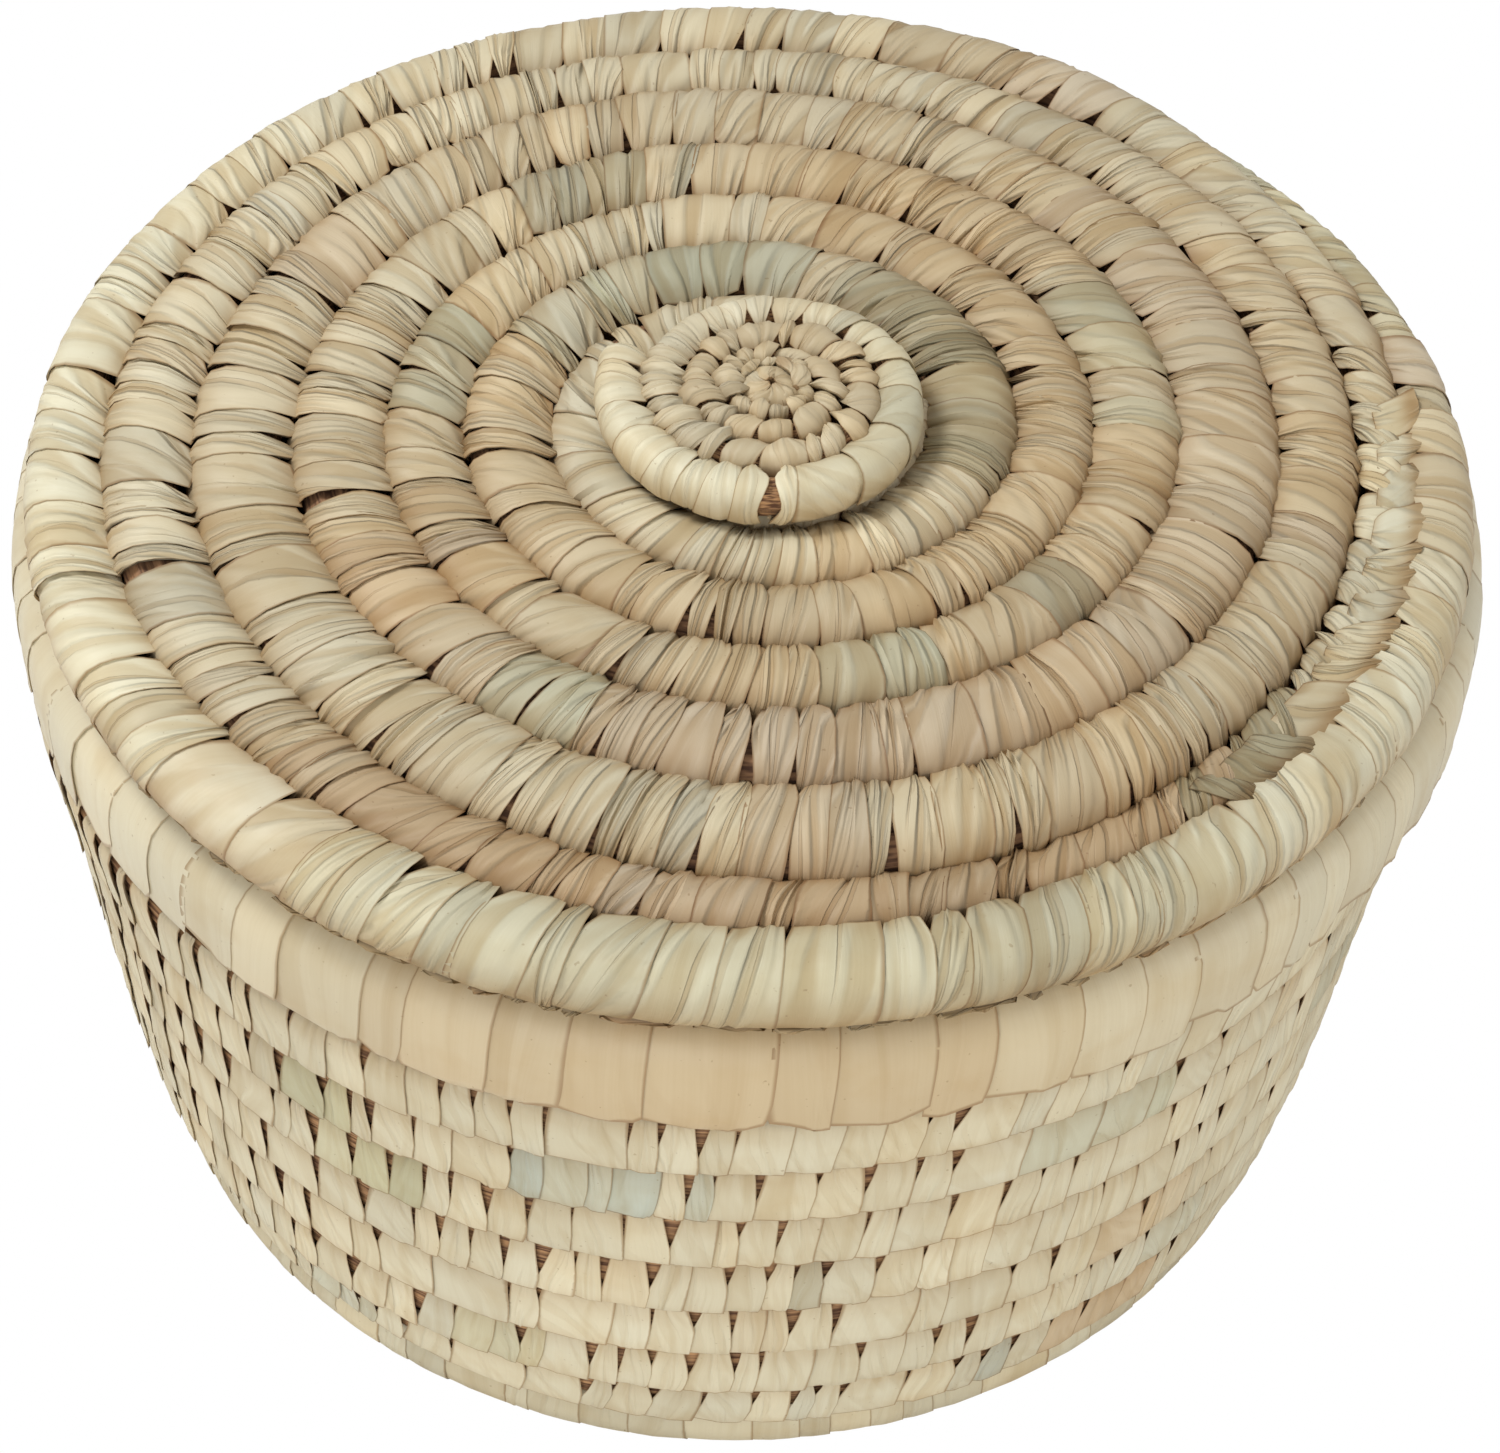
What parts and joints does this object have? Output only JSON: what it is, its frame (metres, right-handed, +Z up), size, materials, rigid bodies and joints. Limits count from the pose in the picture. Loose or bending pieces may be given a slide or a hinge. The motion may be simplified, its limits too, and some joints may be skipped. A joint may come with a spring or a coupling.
{
  "type": "lidded storage basket",
  "caption": "Round coiled palm-leaf basket with a thick rim and a loose, coiled lift-off lid that carries a small coiled knob.",
  "frame": {"origin": "middle of the underside of the base, on the surface that the basket stands on", "axes": "+Z up along the basket's axis, -Y towards the viewer of the picture, +X to the viewer's right"},
  "size_m": [0.416, 0.416, 0.2634],
  "materials": {
    "leaf_body": "dry palm-leaf strip, matt with a faint waxy sheen",
    "leaf_rim": "wide palm-leaf strip, smooth and slightly waxy",
    "leaf_lid": "pleated palm-leaf strip, matt with a faint waxy sheen",
    "leaf_knob": "pleated pale green palm-leaf strip, faint waxy sheen",
    "core_fibre": "bundled brown stem fibre, matt"
  },
  "bodies": {
    "basket": {"base_heart": "leaf_body", "base_coil": "leaf_body", "wall_coil": "leaf_body", "rim_coil": "leaf_rim"},
    "lid": {"lid_coil": "leaf_lid", "lid_locating_coil": "leaf_body", "knob_stalk": "core_fibre", "stalk_tie": "leaf_body", "knob_coil": "leaf_knob", "knob_heart": "leaf_knob"}
  },
  "joints": [
    {"name": "lid_lift", "type": "slide", "parent": "basket", "child": "lid", "axis": [0, 0, 1], "range_m": [0, 0.16]}
  ]
}
